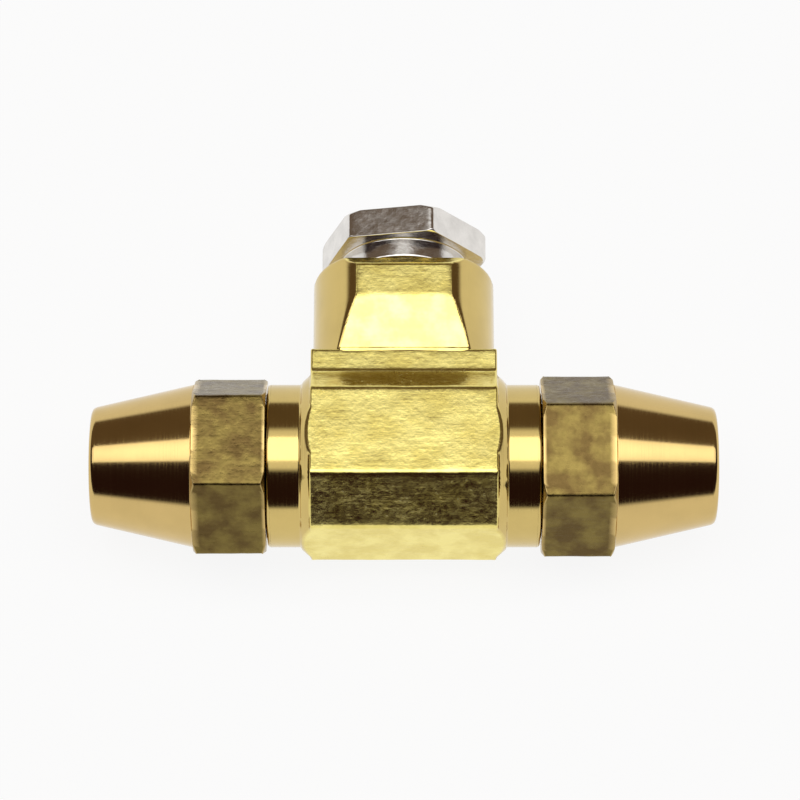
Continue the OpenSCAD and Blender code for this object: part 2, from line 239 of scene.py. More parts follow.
# %% Rounded outlines
def rounded(corners, joined=False, steps=4):
    """Rows of (radius, along) through corners (radius, along, rounding, rows to the next).
    A rounding from A over corner P to B follows (1-s)^2 A + 2 s (1-s) P + s^2 B."""
    width = max(np.size(value) for corner in corners for value in corner[:2])
    places = np.array([[np.broadcast_to(v, width) for v in corner[:2]] for corner in corners], float)
    count, rows = len(corners), []
    for k, (_, _, rounding, divisions) in enumerate(corners):
        here, before, after = places[k], places[k - 1], places[(k + 1) % count]
        ends = not joined and k in (0, count - 1)
        if ends:
            leave = here
            rows.append(here)
        else:
            back, on = before - here, after - here
            back_long = np.hypot(*back) + 1e-9
            on_long = np.hypot(*on) + 1e-9
            cut = np.minimum(rounding, 0.42 * np.minimum(back_long, on_long))
            start, end = here + back / back_long * cut, here + on / on_long * cut
            rows.append(here + back / back_long * cut * 1.18)
            for s in np.linspace(0, 1, steps + 1):
                rows.append((1 - s) ** 2 * start + 2 * s * (1 - s) * here + s ** 2 * end)
            leave = here + on / on_long * cut * 1.18
            rows.append(leave)
        if divisions > 1 and (joined or k < count - 1):
            following = after - leave
            rows += [leave + following * s for s in np.linspace(0, 0.9, divisions)[1:]]
    return np.array(rows)[:, 0], np.array(rows)[:, 1]


def thread(radius, along, angle, start, end, pitch, depth, fade=0.4):
    """Cuts a right-hand thread: radius - depth (1 - cos(2 pi (along / pitch - angle / 2 pi))) / 2,
    fading out over a short stretch at each end."""
    wave = (1 - np.cos(2 * math.pi * along / pitch - angle)) / 2
    inside = np.clip((along - start) / fade, 0, 1) * np.clip((end - along) / fade, 0, 1)
    return radius - depth * wave * inside


# %% [markdown]
# ## Unevenness as geometry
# Mill skin isn't flat: it waves by a few hundredths of a millimetre, and a shiny metal shows that
# as broken highlights. A value noise gives each corner of a lattice a fixed number from a hash and
# blends between them. The waves are put into the mesh itself; only the finest grain is left to
# the material.

# %% Value noise
def lattice_value(cell, seed):
    """A fixed number from 0 to 1 for each whole-numbered cell: the fraction of a large sine."""
    mixed = np.sin(cell @ np.array([127.1, 311.7, 74.7]) + seed * 19.19) * 43758.5453
    return mixed - np.floor(mixed)


def uneven(points, cell, seed):
    """Smooth noise from -1 to 1 with lumps of about the cell's size, blended between corners."""
    scaled = points / cell
    low = np.floor(scaled)
    blend = scaled - low
    blend = blend * blend * (3 - 2 * blend)
    total = np.zeros(points.shape[:-1])
    for corner in np.ndindex(2, 2, 2):
        weight = np.prod(np.where(corner, blend, 1 - blend), axis=-1)
        total += weight * lattice_value(low + corner, seed)
    return 2 * total - 1


def mill_skin(points, seed):
    """Lumps of three sizes, the larger the stronger."""
    return (0.55 * uneven(points, 2.1, seed) + 0.3 * uneven(points, 0.9, seed + 1)
            + 0.15 * uneven(points, 0.45, seed + 2))


# %% [markdown]
# ## Brass and nickel
# One recipe serves all the brass. Metal has no colour of its own other than its tinted reflection,
# so what makes it read as brass is a saturated base colour, a roughness that differs between
# mill skin and cut faces, and a relief. The mill skin gets a grain of pits and stains, with fine
# streaks along X, the way the bar was drawn; a cut face gets tool marks, which are a
# one-dimensional noise of the distance along the turning axis, so they run round the piece as real
# ones do.

# %% Material helpers
def new_material(name, **settings):
    """A Principled material, with the named values on the shader's own sockets."""
    material = bpy.data.materials.new(name)
    material.use_nodes = True
    shader = material.node_tree.nodes["Principled BSDF"]
    for label, value in settings.items():
        shader.inputs[label.replace("_", " ")].default_value = value
    return material, material.node_tree, shader


def add_node(tree, kind, links=(), **values):
    """Adds a node, sets its properties, and links (input, source socket) pairs into it."""
    made = tree.nodes.new(kind)
    for label, value in values.items():
        setattr(made, label, value)
    for label, source in links:
        if hasattr(source, "is_output"):
            tree.links.new(source, made.inputs[label])
        else:
            made.inputs[label].default_value = source
    return made


def noise(tree, vector, lump, detail=3.0, rough=0.55):
    """Noise over the object's own coordinates, with lumps of a size given in millimetres."""
    made = add_node(tree, "ShaderNodeTexNoise", [("Vector", vector), ("Scale", 1 / (lump * MM)),
                                                 ("Detail", detail), ("Roughness", rough)])
    return made.outputs["Fac"]


def tool_marks(tree, run, spacing):
    """One-dimensional noise of the distance along the axis, in millimetres."""
    made = add_node(tree, "ShaderNodeTexNoise", [("W", run), ("Scale", 1 / spacing),
                                                 ("Detail", 2.0)], noise_dimensions="1D")
    return made.outputs["Fac"]


def remap(tree, value, low, high, to_low, to_high):
    """Carries a stretch of one value to a stretch of another, clamped."""
    made = add_node(tree, "ShaderNodeMapRange", [("Value", value), ("From Min", low), ("From Max", high),
                                                 ("To Min", to_low), ("To Max", to_high)])
    return made.outputs["Result"]


def mix(tree, factor, one, other):
    """Blends two colours, each an RGBA or a socket."""
    made = add_node(tree, "ShaderNodeMix", data_type="RGBA")
    for index, source in ((0, factor), (6, one), (7, other)):
        if hasattr(source, "is_output"):
            tree.links.new(source, made.inputs[index])
        else:
            made.inputs[index].default_value = source
    return made.outputs[2]


def blend_value(tree, factor, one, other):
    """Blends two numbers, each a number or a socket."""
    made = add_node(tree, "ShaderNodeMix", data_type="FLOAT")
    for index, source in ((0, factor), (2, one), (3, other)):
        if hasattr(source, "is_output"):
            tree.links.new(source, made.inputs[index])
        else:
            made.inputs[index].default_value = source
    return made.outputs[0]


def attribute(tree, name):
    """The number that each point of the mesh carries under a name."""
    return add_node(tree, "ShaderNodeAttribute", attribute_name=name).outputs["Fac"]


# %% The brass recipe
def brass(name, cut, skin_light, skin_dark, cut_rough, skin_rough, pit=0.02, mark=0.0012):
    """Brass with a cut finish where skin is 0 and a stained, grained mill finish where it is 1."""
    material, tree, shader = new_material(name, Metallic=1.0)
    where = add_node(tree, "ShaderNodeTexCoord").outputs["Object"]
    is_skin = attribute(tree, "skin")
    marks = tool_marks(tree, attribute(tree, "run"), 0.11)
    stain = remap(tree, noise(tree, where, 1.9), 0.38, 0.62, 0.0, 1.0)
    drawn = add_node(tree, "ShaderNodeMapping", [("Vector", where), ("Scale", (0.12, 1, 1))])
    streaks = noise(tree, drawn.outputs["Vector"], 0.3, detail=4.0)
    grain = blend_value(tree, 0.3, noise(tree, where, 0.45, detail=5.0), streaks)
    handled = remap(tree, noise(tree, where, 3.4), 0.4, 0.7, 0.0, 0.35)
    skin_colour = mix(tree, stain, skin_light, skin_dark)
    cut_colour = mix(tree, handled, cut, [c * 0.78 for c in cut[:3]] + [1.0])
    tree.links.new(mix(tree, is_skin, cut_colour, skin_colour), shader.inputs["Base Color"])
    skin_gloss = remap(tree, grain, 0.3, 0.7, skin_rough - 0.08, skin_rough + 0.1)
    cut_gloss = remap(tree, marks, 0.3, 0.7, cut_rough - 0.04, cut_rough + 0.05)
    tree.links.new(blend_value(tree, is_skin, cut_gloss, skin_gloss), shader.inputs["Roughness"])
    relief = blend_value(tree, is_skin, 0.0, grain)
    groove = blend_value(tree, is_skin, marks, 0.5)
    pits = add_node(tree, "ShaderNodeBump", [("Height", relief), ("Distance", pit * MM)])
    lines = add_node(tree, "ShaderNodeBump", [("Height", groove), ("Distance", mark * MM),
                                              ("Normal", pits.outputs["Normal"])])
    tree.links.new(lines.outputs["Normal"], shader.inputs["Normal"])
    return material


body_brass = brass("body_brass", (0.64, 0.48, 0.17, 1), (0.93, 0.80, 0.27, 1), (0.80, 0.66, 0.19, 1),
                   cut_rough=0.12, skin_rough=0.2, pit=0.026)
nut_brass = brass("nut_brass", (0.64, 0.46, 0.18, 1), (0.21, 0.155, 0.045, 1), (0.12, 0.078, 0.026, 1),
                  cut_rough=0.12, skin_rough=0.3, pit=0.06)
turned_brass = brass("turned_brass", (0.74, 0.56, 0.20, 1), (0.7, 0.55, 0.2, 1), (0.5, 0.38, 0.1, 1),
                     cut_rough=0.2, skin_rough=0.35)


# %% The nickel plate and the steel stem
def plate(name, colour, rough, grain_relief):
    """A bright plated or turned metal: fine tool marks under a soft, slightly clouded gloss."""
    material, tree, shader = new_material(name, Metallic=1.0)
    where = add_node(tree, "ShaderNodeTexCoord").outputs["Object"]
    marks = tool_marks(tree, attribute(tree, "run"), 0.14)
    cloud = remap(tree, noise(tree, where, 1.6), 0.35, 0.65, 0.0, 0.5)
    darker = [c * 0.72 for c in colour[:3]] + [1.0]
    tree.links.new(mix(tree, cloud, colour, darker), shader.inputs["Base Color"])
    gloss = remap(tree, noise(tree, where, 0.7), 0.3, 0.7, rough - 0.04, rough + 0.07)
    tree.links.new(gloss, shader.inputs["Roughness"])
    grain = add_node(tree, "ShaderNodeBump", [("Height", noise(tree, where, 0.5)),
                                              ("Distance", grain_relief * MM)])
    lines = add_node(tree, "ShaderNodeBump", [("Height", marks), ("Distance", 0.001 * MM),
                                              ("Normal", grain.outputs["Normal"])])
    tree.links.new(lines.outputs["Normal"], shader.inputs["Normal"])
    return material


nickel = plate("nickel_plate", (0.80, 0.77, 0.73, 1), 0.16, 0.012)
steel = plate("stem_steel", (0.62, 0.60, 0.57, 1), 0.24, 0.006)


# %% Rubber and packing plastic
def moulded(name, colour, rough, relief):
    """A dull moulded ring: a faint cloud in its colour and a fine grain."""
    material, tree, shader = new_material(name, Metallic=0.0)
    where = add_node(tree, "ShaderNodeTexCoord").outputs["Object"]
    cloud = noise(tree, where, 0.6)
    tree.links.new(mix(tree, cloud, colour, [c * 0.8 for c in colour[:3]] + [1.0]),
                   shader.inputs["Base Color"])
    tree.links.new(remap(tree, cloud, 0.3, 0.7, rough - 0.06, rough + 0.06), shader.inputs["Roughness"])
    grain = add_node(tree, "ShaderNodeBump", [("Height", noise(tree, where, 0.08)),
                                              ("Distance", relief * MM)])
    tree.links.new(grain.outputs["Normal"], shader.inputs["Normal"])
    return material


rubber = moulded("seal_rubber", (0.03, 0.03, 0.03, 1), 0.5, 0.004)
plastic = moulded("packing_plastic", (0.88, 0.88, 0.85, 1), 0.4, 0.002)
print("materials:", [m.name for m in bpy.data.materials])

# %% [markdown]
# ## The block
# The maker saws a length off an extruded brass bar and turns both ends. The bar's outline has ten
# corners, softened as extrusion leaves them. To carry it along X with turned ends, each point of
# the outline stops where the turned end surface is at its own distance from the flow axis. The
# same columns then go on as circles: down the end face, round the boss, along the threaded spigot,
# into its mouth and down the tube socket, so the block with both its tube ends is one skin.

# %% The outline of the bar
def bar_outline(spacing=0.26):
    """The bar's closed outline as local (x, y) and its outward normals. Local X points to the
    back, so the corners run from the back flat, over the neck side, to the front and the foot."""
    half = [(half_depth, -flat_half), (half_depth, flat_half), (band_half, band_start),
            (band_half, band_end)]
    corners = half + [(-x, y) for x, y in reversed(half)] + [(-foot_half, -foot_drop),
                                                             (foot_half, -foot_drop)]
    corners = np.array(corners)
    outline = []
    for here, before, after in zip(corners, np.roll(corners, 1, 0), np.roll(corners, -1, 0)):
        back, on = before - here, after - here
        start = here + back / np.hypot(*back) * corner_round
        end = here + on / np.hypot(*on) * corner_round
        for s in np.linspace(0, 1, 6):
            outline.append((1 - s) ** 2 * start + 2 * s * (1 - s) * here + s ** 2 * end)
        straight = np.hypot(*on) - 2 * corner_round
        count = max(2, round(straight / spacing))
        stop = after - on / np.hypot(*on) * corner_round
        outline += [end + (stop - end) * s for s in np.arange(1, count) / count]
    outline = np.array(outline)
    tangent = np.roll(outline, -1, 0) - np.roll(outline, 1, 0)
    normal = np.stack([tangent[:, 1], -tangent[:, 0]], axis=-1)
    return outline, normal / np.hypot(*normal.T)[:, None]


def turned_reach(r):
    """Reach of the turned end at a distance from the flow axis: flat, then a bevel, then flat."""
    bevel = block_reach - (r - face_r) * (block_reach - bevel_reach) / (bevel_r - face_r)
    return np.clip(bevel, bevel_reach, block_reach)


outline, outward = bar_outline()
column_angle = np.arctan2(outline[:, 1], outline[:, 0])
print("bar outline:", len(outline), "points")


# %% The rows of one end, from the edge of the bar in to the passage
def end_rows(side):
    """Rows (x, y, along, skin) from the bar's edge to the bottom of one tube socket."""
    rows = []
    for turn in np.linspace(0, math.pi / 2, 5)[1:]:
        across = outline - outward * edge_round * (1 - math.cos(turn))
        reach = turned_reach(np.hypot(*across.T)) - edge_round * (1 - math.sin(turn))
        rows.append((across[:, 0], across[:, 1], reach, 1 - turn / (math.pi / 2)))
    inner = outline - outward * edge_round
    circle = np.stack([np.cos(column_angle), np.sin(column_angle)], axis=-1)
    for share in np.linspace(0, 1, 12)[1:]:
        across = inner + (circle * (boss_r + boss_fillet) - inner) * share
        reach = turned_reach(np.hypot(*across.T))
        rows.append((across[:, 0], across[:, 1], reach, 0.0))
    profile = [
        (boss_r + boss_fillet, block_reach, 0, 1), (boss_r, block_reach + boss_fillet, 0.1, 4),
        (boss_r, boss_reach, 0.22, 3), (runout_r, boss_reach, 0.1, 2),
        (runout_r, thread_start, 0.1, 2), (thread_r, thread_start + 0.6, 0.05, 48),
        (thread_r, spigot_reach - 0.6, 0.05, 4), (runout_r, spigot_reach, 0.12, 1),
        (socket_r + mouth_flare, spigot_reach, 0.1, 3),
        (socket_r, spigot_reach - mouth_length, 0.1, 3), (socket_r, tube_stop, 0.08, 1),
    ]
    radius, along = rounded(profile)
    radius = thread(radius, along, column_angle, thread_start + 0.3, spigot_reach - 0.1,
                    nut_pitch, spigot_cut)
    radius, along = np.broadcast_arrays(radius, along)
    for r, a in zip(radius[1:], along[1:]):
        rows.append((r * circle[:, 0], r * circle[:, 1], a, 0.0))
    hole_r, hole_y, deep_y = passages[side]
    for share in (0.15, 0.6, 0.93, 1.0):
        r = socket_r + (hole_r - socket_r) * share
        rows.append((r * circle[:, 0], r * circle[:, 1] + hole_y * share, tube_stop, 0.0))
    rows.append((hole_r * circle[:, 0], hole_r * circle[:, 1] + hole_y, tube_stop - 0.1, 0.0))
    rows.append((hole_r * circle[:, 0], hole_r * circle[:, 1] + deep_y, passage_end, 0.0))
    return rows


def as_points(rows, side):
    """Rows to points in the valve's frame. The left end is the mirror image of the right one, so
    the thread on its spigot is left-handed, which on a real valve it is not."""
    width = len(outline)
    parts = [to_right(x, y, side * np.broadcast_to(a, width)) for x, y, a, _ in rows]
    return np.array(parts), np.array([np.broadcast_to(s, width) for *_, s in rows])


# %% The block with its two tube ends, as one skin
def block_shell():
    """Side rows run along X between the turned ends, with the mill skin's waves on them."""
    right, right_skin = as_points(end_rows(1), 1)
    left, left_skin = as_points(end_rows(-1), -1)
    stop = turned_reach(np.hypot(*outline.T)) - edge_round
    share = np.linspace(-1, 1, 54)[:, None]
    side = to_right(outline[:, 0] + 0 * share, outline[:, 1] + 0 * share, share * stop)
    push = bar_wave * mill_skin(side, 3) - bar_wave
    lift = to_right(outward[:, 0], outward[:, 1], np.zeros(len(outline))) - [0, 0, axis_z]
    calm = np.clip((1 - np.abs(share)) / 0.04, 0, 1)
    side = side + lift * (push * calm)[..., None]
    points = np.concatenate([left[::-1], side, right])
    skin = np.concatenate([left_skin[::-1], np.ones(side.shape[:2]), right_skin])
    return shell(points, skin, points[..., 0])


# %% [markdown]
# ## The neck
# The same bar stands up from the block between two flats, and its other two sides are turned round
# the stem axis. Across the stem axis that is a circle with two sides cut off. The columns are placed
# by that shape: some across each flat and some round each turned side, with the corner between
# them always on a column, however deep the flat lies at that height. The rows go up the outside,
# over the top and back down the stem bore, so this too is one closed skin.

# %% The neck and the stem bore, as one skin
def neck_columns(half, radius):
    """Angles and radii of one row. Angle 0 is local X, the middle of a turned side. A softened
    least of the circle and the flat, (a^-p + b^-p)^(-1/p), rounds the corner between them."""
    corner = math.asin(min(half / radius, 0.999))
    side = corner * np.array([0, .15, .3, .44, .57, .68, .78, .86, .92, .96, .985, 1])
    share = np.array([.02, .05, .1, .17, .26, .36, .47, .59, .72, .86, 1])
    flat = corner + (math.pi / 2 - corner) * share
    quarter = np.concatenate([side, flat])
    angle = np.concatenate([quarter[:-1], math.pi - quarter[:0:-1]])
    angle = np.concatenate([angle, angle + math.pi])
    power = 70
    bound = half / np.maximum(np.abs(np.sin(angle)), 1e-3)
    return angle, (radius ** -power + bound ** -power) ** (-1 / power), bound < radius


def neck_shell():
    """Rows up the outside from inside the block, over the top, then down every step of the bore."""
    half, height = rounded([
        (liner_r, liner_floor, 0, 1), (liner_r, liner_top, 0.1, 1),
        (band_half - skirt_inset, skirt_start, 0.05, 3), (band_half, band_end, 0.12, 18),
        (neck_half, flat_start, 0.35, 14), (neck_half, neck_top - neck_bevel, 0.18, 5),
        (neck_half - neck_bevel, neck_top, 0.0, 1),
    ])
    rows, skin = [], []
    for h, y in zip(half[:, 0], height[:, 0]):
        hidden = y < hidden_below
        rounding = neck_round * np.clip((y - neck_top + neck_round) / neck_round, 0, 1) ** 2
        radius = h if hidden else neck_r - rounding
        angle, r, is_flat = neck_columns(h * (0.7 if hidden else 1), radius)
        r = np.full(len(angle), h) if hidden else r
        rows.append(around(to_stem, r, angle, y))
        skin.append(is_flat.astype(float) * (not hidden))
    rows, skin = np.array(rows), np.array(skin)
    facing = np.where(rows[..., 2] > axis_z, 1.0, -1.0)
    visible = (rows[..., 1] > band_end) & (rows[..., 1] < neck_top - 0.1)
    rows[..., 2] += facing * skin * visible * (neck_wave * mill_skin(rows, 11) - neck_wave)
    top_angle, top_r, _ = neck_columns(neck_half - neck_bevel, neck_r - neck_round)
    radius, along = rounded([
        (gland_bore_r + 0.3, neck_top, 0, 1), (gland_bore_r, neck_top - 0.3, 0.05, 24),
        (gland_bore_r, follower_top, 0.05, 1), (packing_bore_r, follower_top, 0.05, 2),
        (packing_bore_r, packing_floor, 0.05, 1), (land_bore_r, packing_floor, 0.05, 2),
        (land_bore_r, tap_top, 0.05, 1), (tap_r, tap_top, 0.05, 44), (tap_r, chamber_top, 0.05, 1),
        (chamber_r, chamber_top, 0.05, 2), (chamber_r, seat_height, 0.05, 1),
        (orifice_r, seat_height, 0.02, 2), (orifice_r, orifice_floor, 0.1, 1),
    ])
    radius = thread(radius, along, top_angle, follower_top + 0.1, neck_top - 0.2, gland_pitch,
                    gland_cut)
    radius = thread(radius, along, top_angle, chamber_top + 0.1, tap_top - 0.1, stem_pitch, tap_cut)
    bore = around(to_stem, radius, top_angle, along)
    inward = np.array([[0.3], [0.8]])
    face = around(to_stem, top_r + (gland_bore_r + 0.3 - top_r) * inward, top_angle, neck_top)
    points = np.concatenate([rows, face, bore])
    skin = np.concatenate([skin, np.zeros(face.shape[:2]), np.zeros(bore.shape[:2])])
    return shell(points, skin, points[..., 1])


build("brass_body", [block_shell(), neck_shell()], body_brass, "valve", ["valve_body"])

# %% [markdown]
# ## Hexagons with turned corners
# A nut is cut from hexagon bar, and the lathe takes its corners off at 30 degrees, which leaves
# the curved edge that every real nut has. In columns round the axis it is simple: at each angle the
# hexagon has a radius, and the bevel starts at one fixed radius on the face and ends wherever the
# hexagon's own radius is. The columns crowd together at the six corners, where the curve is tight.

# %% Hexagon columns and radii
def hexagon_columns(turn=0.0):
    """Column angles, dense at the six corners, which lie at turn and every 60 degrees on."""
    near = [0, .35, .7, 1.1, 1.6, 2.3, 3.3, 5, 7.5, 10.5, 13.5, 16.5, 19.5, 22.5, 25, 27.5, 30]
    sector = np.concatenate([near, 60 - np.array(near[-2:0:-1])])
    return np.radians(np.concatenate([sector + 60 * k for k in range(6)])) + turn


def hexagon_radius(angle, flat_r, turn=0.0, power=80):
    """Radius of a hexagon with softened corners: the least of its six faces' flat_r / cos,
    taken as (sum of bound^-p)^(-1/p)."""
    total = 0
    for k in range(6):
        lean = np.cos(angle - turn - math.pi / 6 - k * math.pi / 3)
        total = total + (np.maximum(lean, 1e-3) / flat_r) ** power
    return total ** (-1 / power)


# %% [markdown]
# ## The two compression nuts
# Each is one closed outline carried round the axis: the face, the hexagon with its bevels, the long
# coned tail, its rounded tip, the tube bore, the cone that squeezes the ferrule, and the thread. The
# hexagon keeps its mill skin, brown and pitted, and the tail is turned bright.

# %% The nuts
def nut_shell(place, corner_angle, seed):
    """The outline of a nut, closed on itself, round the flow axis."""
    angle = hexagon_columns(corner_angle)
    hexagon = hexagon_radius(angle, nut_flat_r, corner_angle)
    face = np.minimum(hexagon - 0.06, nut_face_r)
    rise = (hexagon - face) * math.tan(math.pi / 6)
    pocket_r = ferrule_r + ferrule_gap
    thread_end = spigot_reach + 0.2
    corners = [
        (nut_bore_r + 0.25, nut_start, 0.05, 1), (face, nut_start, 0.04, 1),
        (hexagon, nut_start + rise, 0.1, 22), (hexagon, nut_hex_end - rise, 0.1, 1),
        (np.minimum(face, nut_face_r), nut_hex_end, 0.05, 1),
        (tail_base_r - 0.03, nut_hex_end + 0.02, 0.05, 12),
        (tail_tip_r, half_span, tail_tip_round, 1), (socket_r + 0.3, half_span, 0.08, 1),
        (socket_r, half_span - 0.3, 0.05, 6), (socket_r, ferrule_end + ferrule_gap, 0.05, 1),
        (nose_r + ferrule_gap, ferrule_end + ferrule_gap, 0.05, 1),
        (pocket_r, ferrule_end - ferrule_taper + ferrule_gap, 0.1, 1),
        (pocket_r, thread_end + nut_bore_r - pocket_r, 0.1, 1), (nut_bore_r, thread_end, 0.1, 72),
        (nut_bore_r, nut_start + 0.25, 0.05, 1),
    ]
    radius, along = rounded(corners, joined=True)
    on_flat = (np.abs(radius - hexagon) < 1e-6) & (along > nut_start + 0.1) & (along < nut_hex_end - 0.1)
    inside = (radius < nut_bore_r + 0.01) & (radius > nut_bore_r - 0.01) & (along < thread_end)
    cut = thread(radius, along, angle, nut_start + 0.3, thread_end - 0.1, nut_pitch, nut_cut)
    radius = np.where(inside, cut, radius)
    wave = mill_skin(around(place, radius, angle, along), seed)
    radius = radius + on_flat * (nut_wave * wave - nut_wave)
    end_face = (radius > tail_base_r) & (along < nut_hex_end + 0.01) & (along > nut_start - 0.01)
    skin = np.where(on_flat, 1.0, np.where(end_face, 0.45, 0.0))
    return shell(around(place, radius, angle, along), skin, along, joined=True)


# Local X points to the back on the right side, and to the front on the left
left_turn, right_turn = math.radians(25), -math.radians(17.5)
build("left_nut_brass", [nut_shell(to_left, left_turn, 21)], nut_brass, "left_nut",
      ["left_nut"])
build("right_nut_brass", [nut_shell(to_right, right_turn, 31)], nut_brass, "right_nut",
      ["right_nut"])


# %% [markdown]
# ## The gland nut
# Under its thin hexagon is a round shank, and under that the thread that goes down into the neck to
# press on the packing. It is turned from steel bar and plated, so its edges are rounder than the
# brass ones and its faces shine.

# %% The gland nut
def gland_shell():
    """The gland nut's closed outline round the stem axis."""
    angle = hexagon_columns(-gland_hex_turn)
    hexagon = hexagon_radius(angle, gland_flat_r, -gland_hex_turn, power=55)
    top = gland_high[1]
    face = np.minimum(hexagon - 0.08, gland_face_r)
    rise = (hexagon - face) * math.tan(math.pi / 6)
    under = np.minimum(hexagon - 0.05, gland_face_r + 0.22)
    lift = (hexagon - under) * math.tan(math.pi / 6)
    corners = [
        (stem_r + 0.1, gland_low[1], 0.05, 1), (gland_thread_r - 0.3, gland_low[1], 0.08, 1),
        (gland_thread_r, gland_low[1] + 0.3, 0.05, 30), (gland_thread_r, shank_start, 0.05, 1),
        (shank_r, shank_start, 0.18, 3), (shank_r, gland_hex_start, 0.1, 1),
        (under, gland_hex_start, 0.06, 1), (hexagon, gland_hex_start + lift, 0.12, 6),
        (hexagon, top - rise, 0.16, 1), (face, top, 0.12, 3), (stem_r + 0.45, top, 0.06, 1),
        (stem_r + 0.1, top - 0.3, 0.05, 4),
    ]
    radius, along = rounded(corners, joined=True)
    outside = (np.abs(radius - gland_thread_r) < 0.01) & (along < shank_start)
    cut = thread(radius, along, angle, gland_low[1] + 0.2, shank_start - 0.1, gland_pitch, gland_cut)
    radius = np.where(outside, cut, radius)
    return shell(around(to_stem, radius, angle, along), 0.0, along, joined=True)


build("gland_nut_plated", [gland_shell()], nickel, "gland_nut", ["gland_nut"])


# %% [markdown]
# ## The stem
# The stem is one turning: needle, waist, thread, the land with the O-ring's groove, and a plain
# shank. Its top end has a screwdriver slot. A lathe outline can't hold a slot, so the outline stops
# at the slot's floor, and two half-round prongs stand on it, each an arc closed by a straight
# line.

# %% The stem and its two prongs
def prong(direction):
    """One side of the slotted end: the outline of a half-round, carried up and bevelled in."""
    gap, sunk, bevel = slot_half, 0.05, stem_bevel
    top = stem_high[1]
    floor = top - slot_depth
    limit = math.acos(gap / stem_r)
    arc = np.linspace(-limit, limit, 28)
    chord = np.linspace(1, -1, 12)[1:-1] * math.sin(limit)
    x = np.concatenate([np.cos(arc), np.full(10, gap / stem_r)]) * stem_r
    y = np.concatenate([np.sin(arc), chord]) * stem_r
    levels = [(floor - sunk, 1.0), (floor + 0.1, 1.0), (top - bevel - 0.02, 1.0), (top - bevel, 0.995),
              (top - 0.04, 1 - (bevel - 0.03) / stem_r), (top, 1 - bevel / stem_r)]
    rows = []
    for height, scale in levels:
        shrunk_x = gap + (x - gap) * (scale if scale < 1 else 1)
        rows.append(to_stem(-direction * y * scale, direction * shrunk_x, np.full(len(x), height)))
    points = np.array(rows)
    return shell(points, 0.0, points[..., 1])


def stem_shell():
    """The stem's outline from the needle's tip to the floor of the slot."""
    floor = stem_high[1] - slot_depth
    land_top = packing_floor - land_gap
    land_bottom = land_top - land_length
    profile = [
        (needle_tip_r, stem_low[1], 0.03, 1), (waist_r, waist_start, 0.1, 2),
        (waist_r, chamber_top + 0.2, 0.05, 1),
        (stem_thread_r, chamber_top + 0.2, 0.1, 40), (stem_thread_r, tap_top - 0.4, 0.1, 1),
        (chamber_r, tap_top - 0.4, 0.05, 1), (chamber_r, land_bottom, 0.03, 1),
        (land_r, land_bottom, 0.06, 1), (land_r, land_bottom + land_rim, 0.04, 1),
        (groove_r, land_bottom + land_rim, 0.04, 1), (groove_r, land_top - land_rim, 0.04, 1),
        (land_r, land_top - land_rim, 0.04, 1), (land_r, land_top, 0.06, 1), (stem_r, land_top, 0.05, 6),
        (stem_r, floor, 0.01, 1), (stem_r - 0.1, floor, 0.01, 1),
    ]
    radius, along = rounded([(0.1, stem_low[1], 0, 1)] + profile)
    angle = np.linspace(0, 2 * math.pi, 97)[:-1]
    radius = thread(radius, along, angle, chamber_top + 0.3, tap_top - 0.5, stem_pitch, stem_cut)
    return shell(around(to_stem, radius, angle, along), 0.0, along + 0 * angle)


build("stem_turned", [stem_shell(), prong(1), prong(-1)], steel, "stem", ["stem"])


# %% [markdown]
# ## The small turned and moulded rings
# Inside the neck lie the O-ring, its backup ring, the packing with its washer, and the follower; in
# each nut lies a ferrule. They are plain rings, so each is only an outline and a turn. The
# outer radius and the heights come from the CAD boxes, so each ring is exactly where its node is.

# %% A ring from its outline
def ring_shell(place, corners, columns=128):
    """A closed outline of (radius, along, rounding, rows) carried once round the axis."""
    radius, along = rounded(corners, joined=True)
    angle = np.linspace(0, 2 * math.pi, columns + 1)[:-1]
    return shell(around(place, radius, angle, along), 0.0, along + 0 * angle, joined=True)


def ferrule_corners():
    """Tapered at both ends, with a thin nose, round the tube."""
    return [
        (socket_r, ferrule_start, 0.04, 1), (nose_r, ferrule_start, 0.06, 1),
        (ferrule_r, ferrule_start + ferrule_taper, 0.25, 3),
        (ferrule_r, ferrule_end - ferrule_taper, 0.25, 1),
        (nose_r, ferrule_end, 0.06, 1), (socket_r, ferrule_end, 0.04, 4),
    ]


for side, place in (("left", to_left), ("right", to_right)):
    build(f"{side}_ferrule_turned", [ring_shell(place, ferrule_corners())], turned_brass,
          f"{side}_ferrule", [f"{side}_ferrule"])


# %% The rings round the stem
def ring_box(node):
    """Outer radius, lowest height and highest height of a CAD ring round the stem axis."""
    low, high = (np.array(corner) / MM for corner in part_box(node))
    return high[0], low[1], high[1]


def square_ring(node, inner):
    """A flat ring with softened edges."""
    outer, low, high = ring_box(node)
    return [(inner, low, 0.03, 1), (outer, low, 0.05, 1), (outer, high, 0.05, 1), (inner, high, 0.03, 1)]


def vee_ring(node, inner, rise=0.35):
    """A packing ring whose underside and top both point up in the middle of the wall."""
    outer, low, high = ring_box(node)
    middle, rim = (inner + outer) / 2, high - rise
    return [(inner, low, 0.03, 1), (middle, low + rise, 0.1, 1), (outer, low, 0.03, 1),
            (outer, rim, 0.04, 1), (middle, high, 0.12, 1), (inner, rim, 0.04, 1)]


def follower_ring(node, inner, rise=0.35):
    """The follower: hollowed underneath to suit the packing, flat on top."""
    outer, low, high = ring_box(node)
    return [(inner, low, 0.03, 1), ((inner + outer) / 2, low + rise, 0.1, 1), (outer, low, 0.03, 1),
            (outer, high, 0.06, 1), (inner, high, 0.04, 1)]


